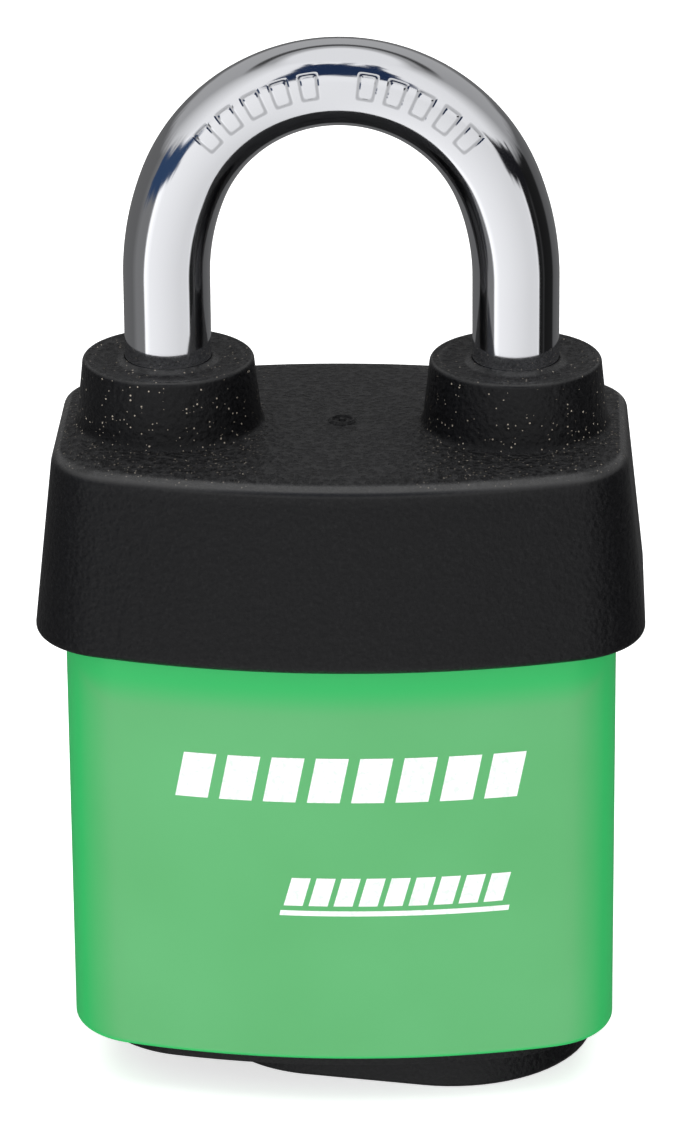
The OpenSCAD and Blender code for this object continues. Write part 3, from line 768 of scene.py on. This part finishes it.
mesh.materials.append(bar_chrome)
shackle = bpy.data.objects.new("chrome_shackle", mesh)
bpy.context.scene.collection.objects.link(shackle)
tidy_up(shackle, 40)


def cross_rod(x, z, r, steps=96):
    """A round cutter that lies front to back."""
    verts = [(x + r * math.cos(2 * math.pi * i / steps), y,
              z + r * math.sin(2 * math.pi * i / steps))
             for y in (-9, 9) for i in range(steps)]
    faces = [(i, (i + 1) % steps, steps + (i + 1) % steps, steps + i) for i in range(steps)]
    faces += [tuple(range(steps)), tuple(range(steps, 2 * steps))]
    return make("cutter", verts, faces)


# the ball stands 2 mm into the leg, on a centre this far out
lock_x = leg_x - leg_r - 3.175 + 2
cut(shackle, cross_rod(-lock_x, BALL_Z, NOTCH), cross_rod(lock_x, BALL_Z, NOTCH),
    cross_rod(-lock_x, BALL_Z - LIFT, NOTCH), smooth=40)
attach(shackle, "shackle")
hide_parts("shackle")


# ---- Laminations, rivets and small steel parts -----------------------------------------
# The body is a stack of punched steel plates held by four rivets. The plates, the rivets,
# the screw, clip and cam are zinc plated; the balls are polished bearing steel.


def plated(name, tint, grit, rough_low, rough_high, metal=1.0):
    """Bare or plated metal: a worked surface whose marks are grit millimetres across."""
    made, tree, shader = surface(name)
    place = node(tree, "ShaderNodeTexCoord").outputs["Object"]
    stretch = node(tree, "ShaderNodeMapping", {"Vector": place, "Scale": (1.0, 6.0, 6.0)})
    marks = node(tree, "ShaderNodeTexNoise", {"Vector": stretch.outputs["Vector"],
                                              "Scale": 1 / (grit * 6 * MM), "Detail": 5.0})
    dull = node(tree, "ShaderNodeMapRange",
                {"Value": marks.outputs["Fac"], "To Min": rough_low, "To Max": rough_high})
    tree.links.new(dull.outputs["Result"], shader.inputs["Roughness"])
    tone = ramp(tree, marks.outputs["Fac"], [(0.3, colour(tint[0])), (0.7, colour(tint[1]))])
    tree.links.new(tone, shader.inputs["Base Color"])
    lift = node(tree, "ShaderNodeBump",
                {"Height": marks.outputs["Fac"], "Strength": 0.15, "Distance": 0.03 * MM})
    tree.links.new(lift.outputs["Normal"], shader.inputs["Normal"])
    shader.inputs["Metallic"].default_value = metal
    return made


zinc = plated("zinc_plated_steel", ("#A9AEB5", "#BFC3C8"), 0.35, 0.28, 0.45)
brass = plated("turned_brass", ("#B08D4A", "#C6A45C"), 0.2, 0.2, 0.34)
bearing = plated("polished_bearing_steel", ("#D3D6DA", "#DEE0E3"), 0.1, 0.05, 0.1)
seal_black = plated("wiper_seal_rubber", ("#101011", "#18181A"), 0.3, 0.6, 0.8, 0.0)

steel_parts = [f"lamination_{i:02d}" for i in range(1, 25)] + [
    "body_rivets", "retaining_screw", "cover_rivet", "plug_clip", "locking_cam"]
brass_parts = ["cylinder_housing", "spring_strip", "plug"] + [
    f"{kind}_pin_{i}" for kind in ("driver", "key") for i in range(1, 6)]
for names, finish in ((steel_parts, zinc), (brass_parts, brass),
                      (["ball_toe", "ball_heel"], bearing),
                      (["shackle_seal_heel", "shackle_seal_toe"], seal_black)):
    for name in names:
        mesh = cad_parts[name].data
        mesh.materials.clear()
        mesh.materials.append(finish)


# ---- Driver springs --------------------------------------------------------------------
# Five springs of phosphor-bronze wire, seven even turns each, push the driver pins
# toward the plug from the strip on the housing's side.

spring_bronze = plated("phosphor_bronze_wire", ("#A9805A", "#BC9368"), 0.1, 0.2, 0.3)
winding = bpy.data.node_groups.new("wound_spring", "GeometryNodeTree")
face = winding.interface
for name, kind in (("Turns", "NodeSocketFloat"), ("Coil Radius", "NodeSocketFloat"),
                   ("Wire Radius", "NodeSocketFloat"), ("Length", "NodeSocketFloat"),
                   ("Start", "NodeSocketVector"), ("Wire Finish", "NodeSocketMaterial")):
    face.new_socket(name, in_out="INPUT", socket_type=kind)
face.new_socket("Geometry", in_out="OUTPUT", socket_type="NodeSocketGeometry")
given = node(winding, "NodeGroupInput")
coil = node(winding, "GeometryNodeCurveSpiral", {
    "Resolution": 20, "Rotations": given.outputs["Turns"],
    "Start Radius": given.outputs["Coil Radius"],
    "End Radius": given.outputs["Coil Radius"], "Height": given.outputs["Length"]})
section = node(winding, "GeometryNodeCurvePrimitiveCircle",
               {"Resolution": 10, "Radius": given.outputs["Wire Radius"]})
wire = node(winding, "GeometryNodeCurveToMesh", {
    "Curve": coil.outputs[0], "Profile Curve": section.outputs["Curve"], "Fill Caps": True})
laid = node(winding, "GeometryNodeTransform", {
    "Geometry": wire.outputs["Mesh"], "Translation": given.outputs["Start"],
    "Rotation": (0.0, math.pi / 2, 0.0)})
soft = node(winding, "GeometryNodeSetShadeSmooth", {"Geometry": laid.outputs["Geometry"]})
real = node(winding, "GeometryNodeRealizeInstances", {"Geometry": soft.outputs["Geometry"]})
made = node(winding, "GeometryNodeSetMaterial",
            {"Geometry": real.outputs["Geometry"], "Material": given.outputs["Wire Finish"]})
node(winding, "NodeGroupOutput", {"Geometry": made.outputs["Geometry"]})

for i in range(1, 6):
    low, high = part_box(f"driver_spring_{i}")
    wire_r = 0.22 * MM
    holder = bpy.data.objects.new(f"wound_driver_spring_{i}", bpy.data.meshes.new("spring"))
    bpy.context.scene.collection.objects.link(holder)
    maker = holder.modifiers.new("winding", "NODES")
    maker.node_group = winding
    wanted = {"Turns": 7.0, "Coil Radius": high.y - wire_r, "Wire Radius": wire_r,
              "Length": high.x - low.x - 2 * wire_r,
              "Start": (low.x + wire_r, 0.0, (low.z + high.z) / 2),
              "Wire Finish": spring_bronze}
    for item in face.items_tree:
        if item.item_type == "SOCKET" and item.in_out == "INPUT":
            maker[item.identifier] = wanted[item.name]
    bpy.context.view_layer.update()
    mesh = bpy.data.meshes.new_from_object(
        holder.evaluated_get(bpy.context.evaluated_depsgraph_get()))
    holder.modifiers.clear()
    holder.data = mesh
    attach(holder, "case")
    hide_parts(f"driver_spring_{i}")
    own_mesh(holder)
